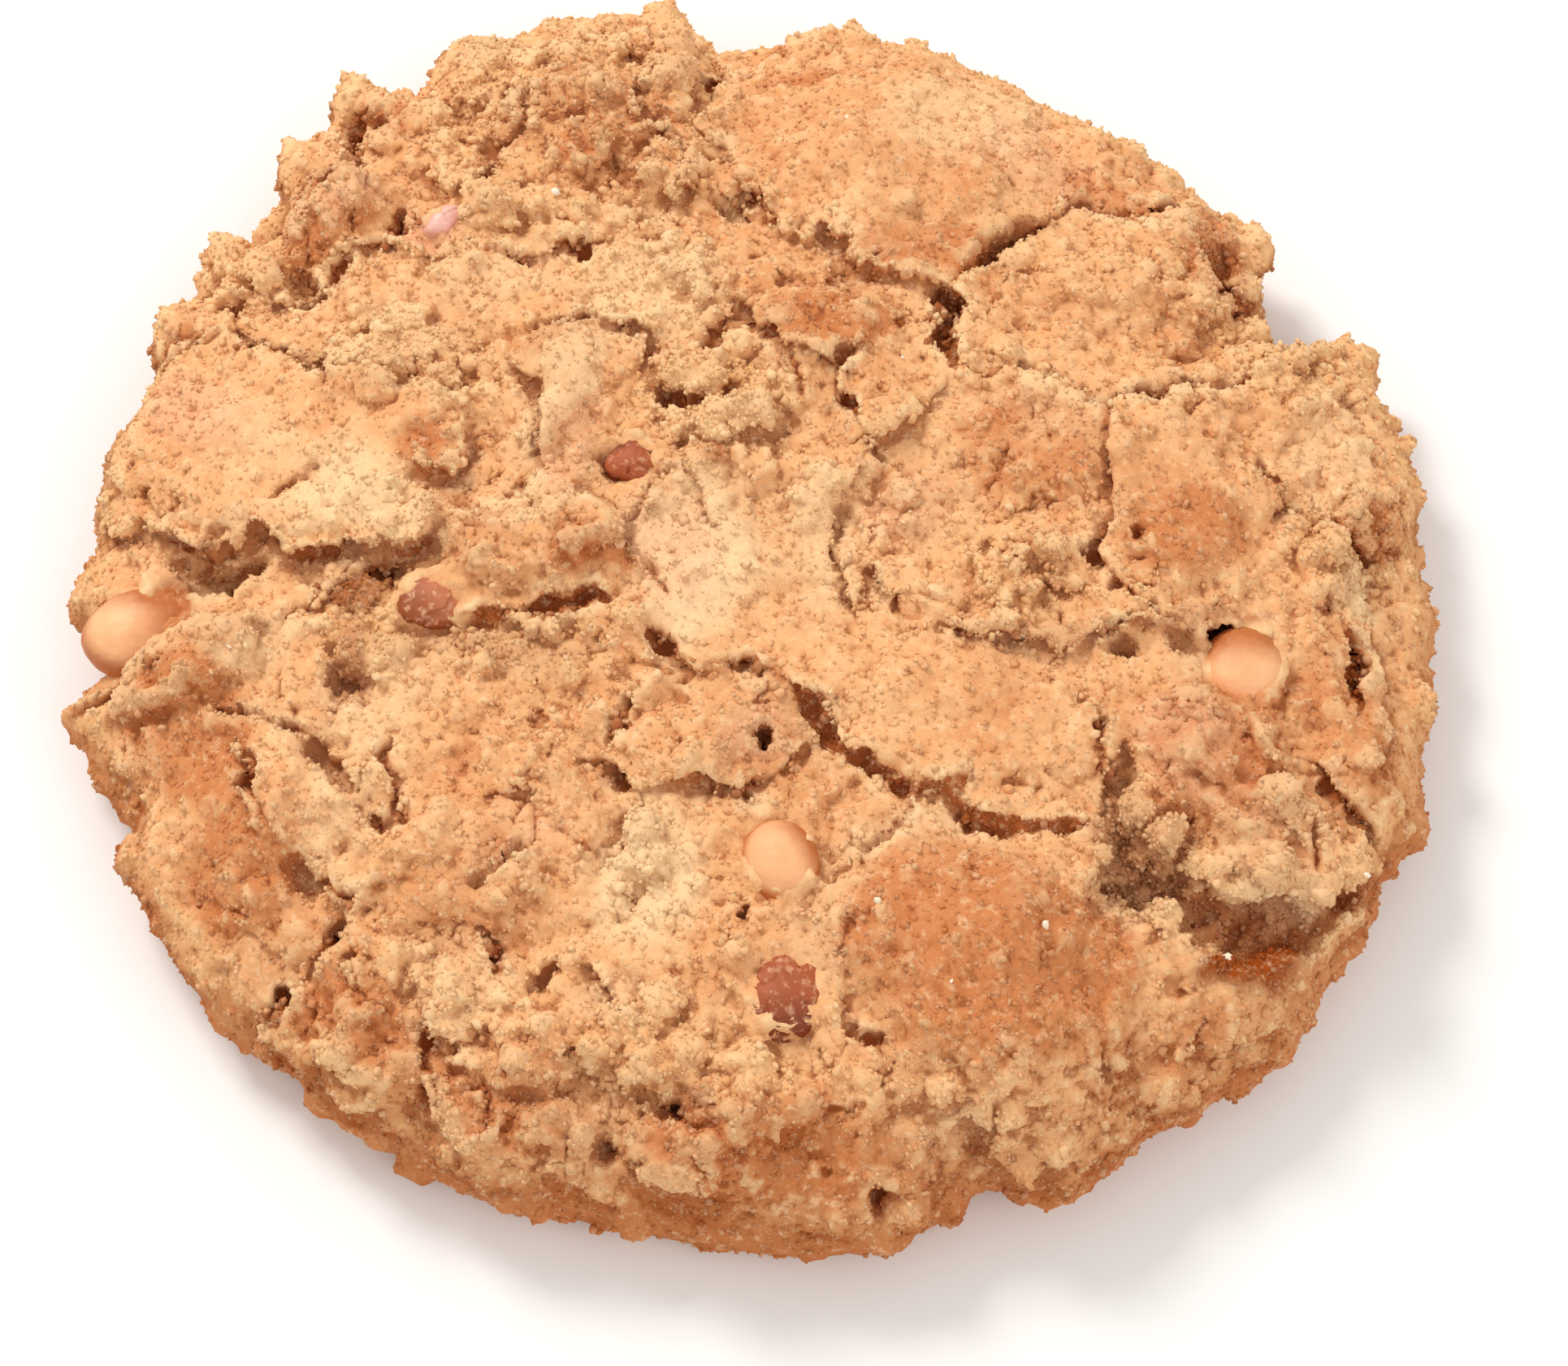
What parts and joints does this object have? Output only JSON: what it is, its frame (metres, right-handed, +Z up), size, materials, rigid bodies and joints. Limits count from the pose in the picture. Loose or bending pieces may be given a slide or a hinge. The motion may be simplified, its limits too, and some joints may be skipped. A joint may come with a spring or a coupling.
{
  "type": "peanut butter cookie",
  "caption": "Thick bakery-size cookie with a cracked, craggy golden crust, a flat underside and smooth chips and nut pieces half sunk in it.",
  "frame": {"origin": "middle of the cookie's outline in plan, at the height of its flat underside", "axes": "+Z up through the thickness; +X to the right and +Y away from the viewer as the top is seen, so the smooth raised dome lies at the front right and the craggy part at the back left"},
  "size_m": [0.1211, 0.1212, 0.0232],
  "materials": {
    "baked_dough": "dry, matt, sandy golden-brown crust, paler in the broken crumb and darker in the cracks and low on the rim",
    "butter_chip": "smooth, satin tan peanut butter chip",
    "browned_chip": "satin red-brown, browned by the oven",
    "nut_skin": "satin red-brown nut piece",
    "nut_pink": "glossy pinkish nut bit"
  },
  "bodies": {
    "root": {"cookie": "baked_dough", "chip_middle": "butter_chip", "chip_right": "butter_chip", "chip_left_rim": "butter_chip", "chip_small": "browned_chip", "chip_melted": "browned_chip", "nut_piece": "nut_skin", "nut_bit_back": "nut_pink"}
  },
  "joints": []
}
